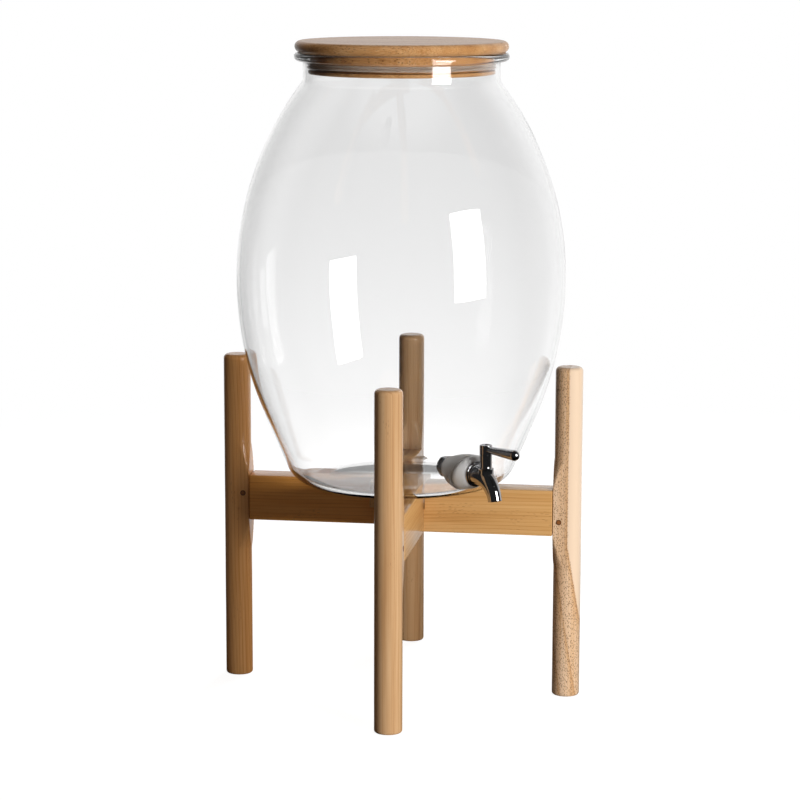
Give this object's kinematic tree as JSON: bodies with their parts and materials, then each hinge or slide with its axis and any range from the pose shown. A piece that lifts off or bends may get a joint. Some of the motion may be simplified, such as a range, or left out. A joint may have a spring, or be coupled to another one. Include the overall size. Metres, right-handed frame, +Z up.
{
  "type": "glass beverage dispenser",
  "caption": "Egg-shaped glass drink dispenser with a push-in bamboo lid and a steel lever tap, standing in a round-post wooden stand with lapped cross arms.",
  "frame": {"origin": "on the floor under the jar's axis, at the middle of the stand's cross", "axes": "+Z up along the jar's axis, +X along the right arm, -Y along the front arm, towards the viewer"},
  "size_m": [0.335, 0.335, 0.5926],
  "materials": {
    "beech": "satin clear varnish on turned beech",
    "beech_arm": "satin clear varnish on sawn beech",
    "pin_wood": "end grain, oiled",
    "screw_steel": "zinc plated",
    "clear_glass": "clear, polished",
    "bamboo": "turned bamboo, oiled",
    "silicone": "translucent, matt",
    "polished_steel": "mirror polished stainless steel",
    "plain_steel": "machined stainless steel",
    "black_rubber": "smooth"
  },
  "bodies": {
    "stand": {"front_post": "beech", "rear_post": "beech", "left_post": "beech", "right_post": "beech", "front_arm": "beech_arm", "rear_arm": "beech_arm", "left_arm": "beech_arm", "right_arm": "beech_arm", "tenon_pins": "pin_wood", "lap_screws": "screw_steel"},
    "jar": {"glass_jar": "clear_glass", "tap_body": "polished_steel", "bonnet_nut": "polished_steel", "outer_gasket": "silicone", "inner_gasket": "silicone", "nut_washer": "plain_steel", "lock_nut": "polished_steel"},
    "lid": {"lid": "bamboo", "lid_seal": "silicone"},
    "lever": {"tap_lever": "polished_steel", "valve_plug": "plain_steel", "valve_rings": "black_rubber", "lever_screw": "plain_steel"}
  },
  "joints": [
    {"name": "jar_lift", "type": "slide", "parent": "stand", "child": "jar", "axis": [0, 0, 1], "range_m": [0, 0.15]},
    {"name": "lid_lift", "type": "slide", "parent": "jar", "child": "lid", "axis": [0, 0, 1], "range_m": [0, 0.1]},
    {"name": "tap_turn", "type": "hinge", "parent": "jar", "child": "lever", "pos_m": [0.08984, -0.09805, 0.2185], "axis": [0, 0, 1], "range_deg": [-90, 90]}
  ]
}
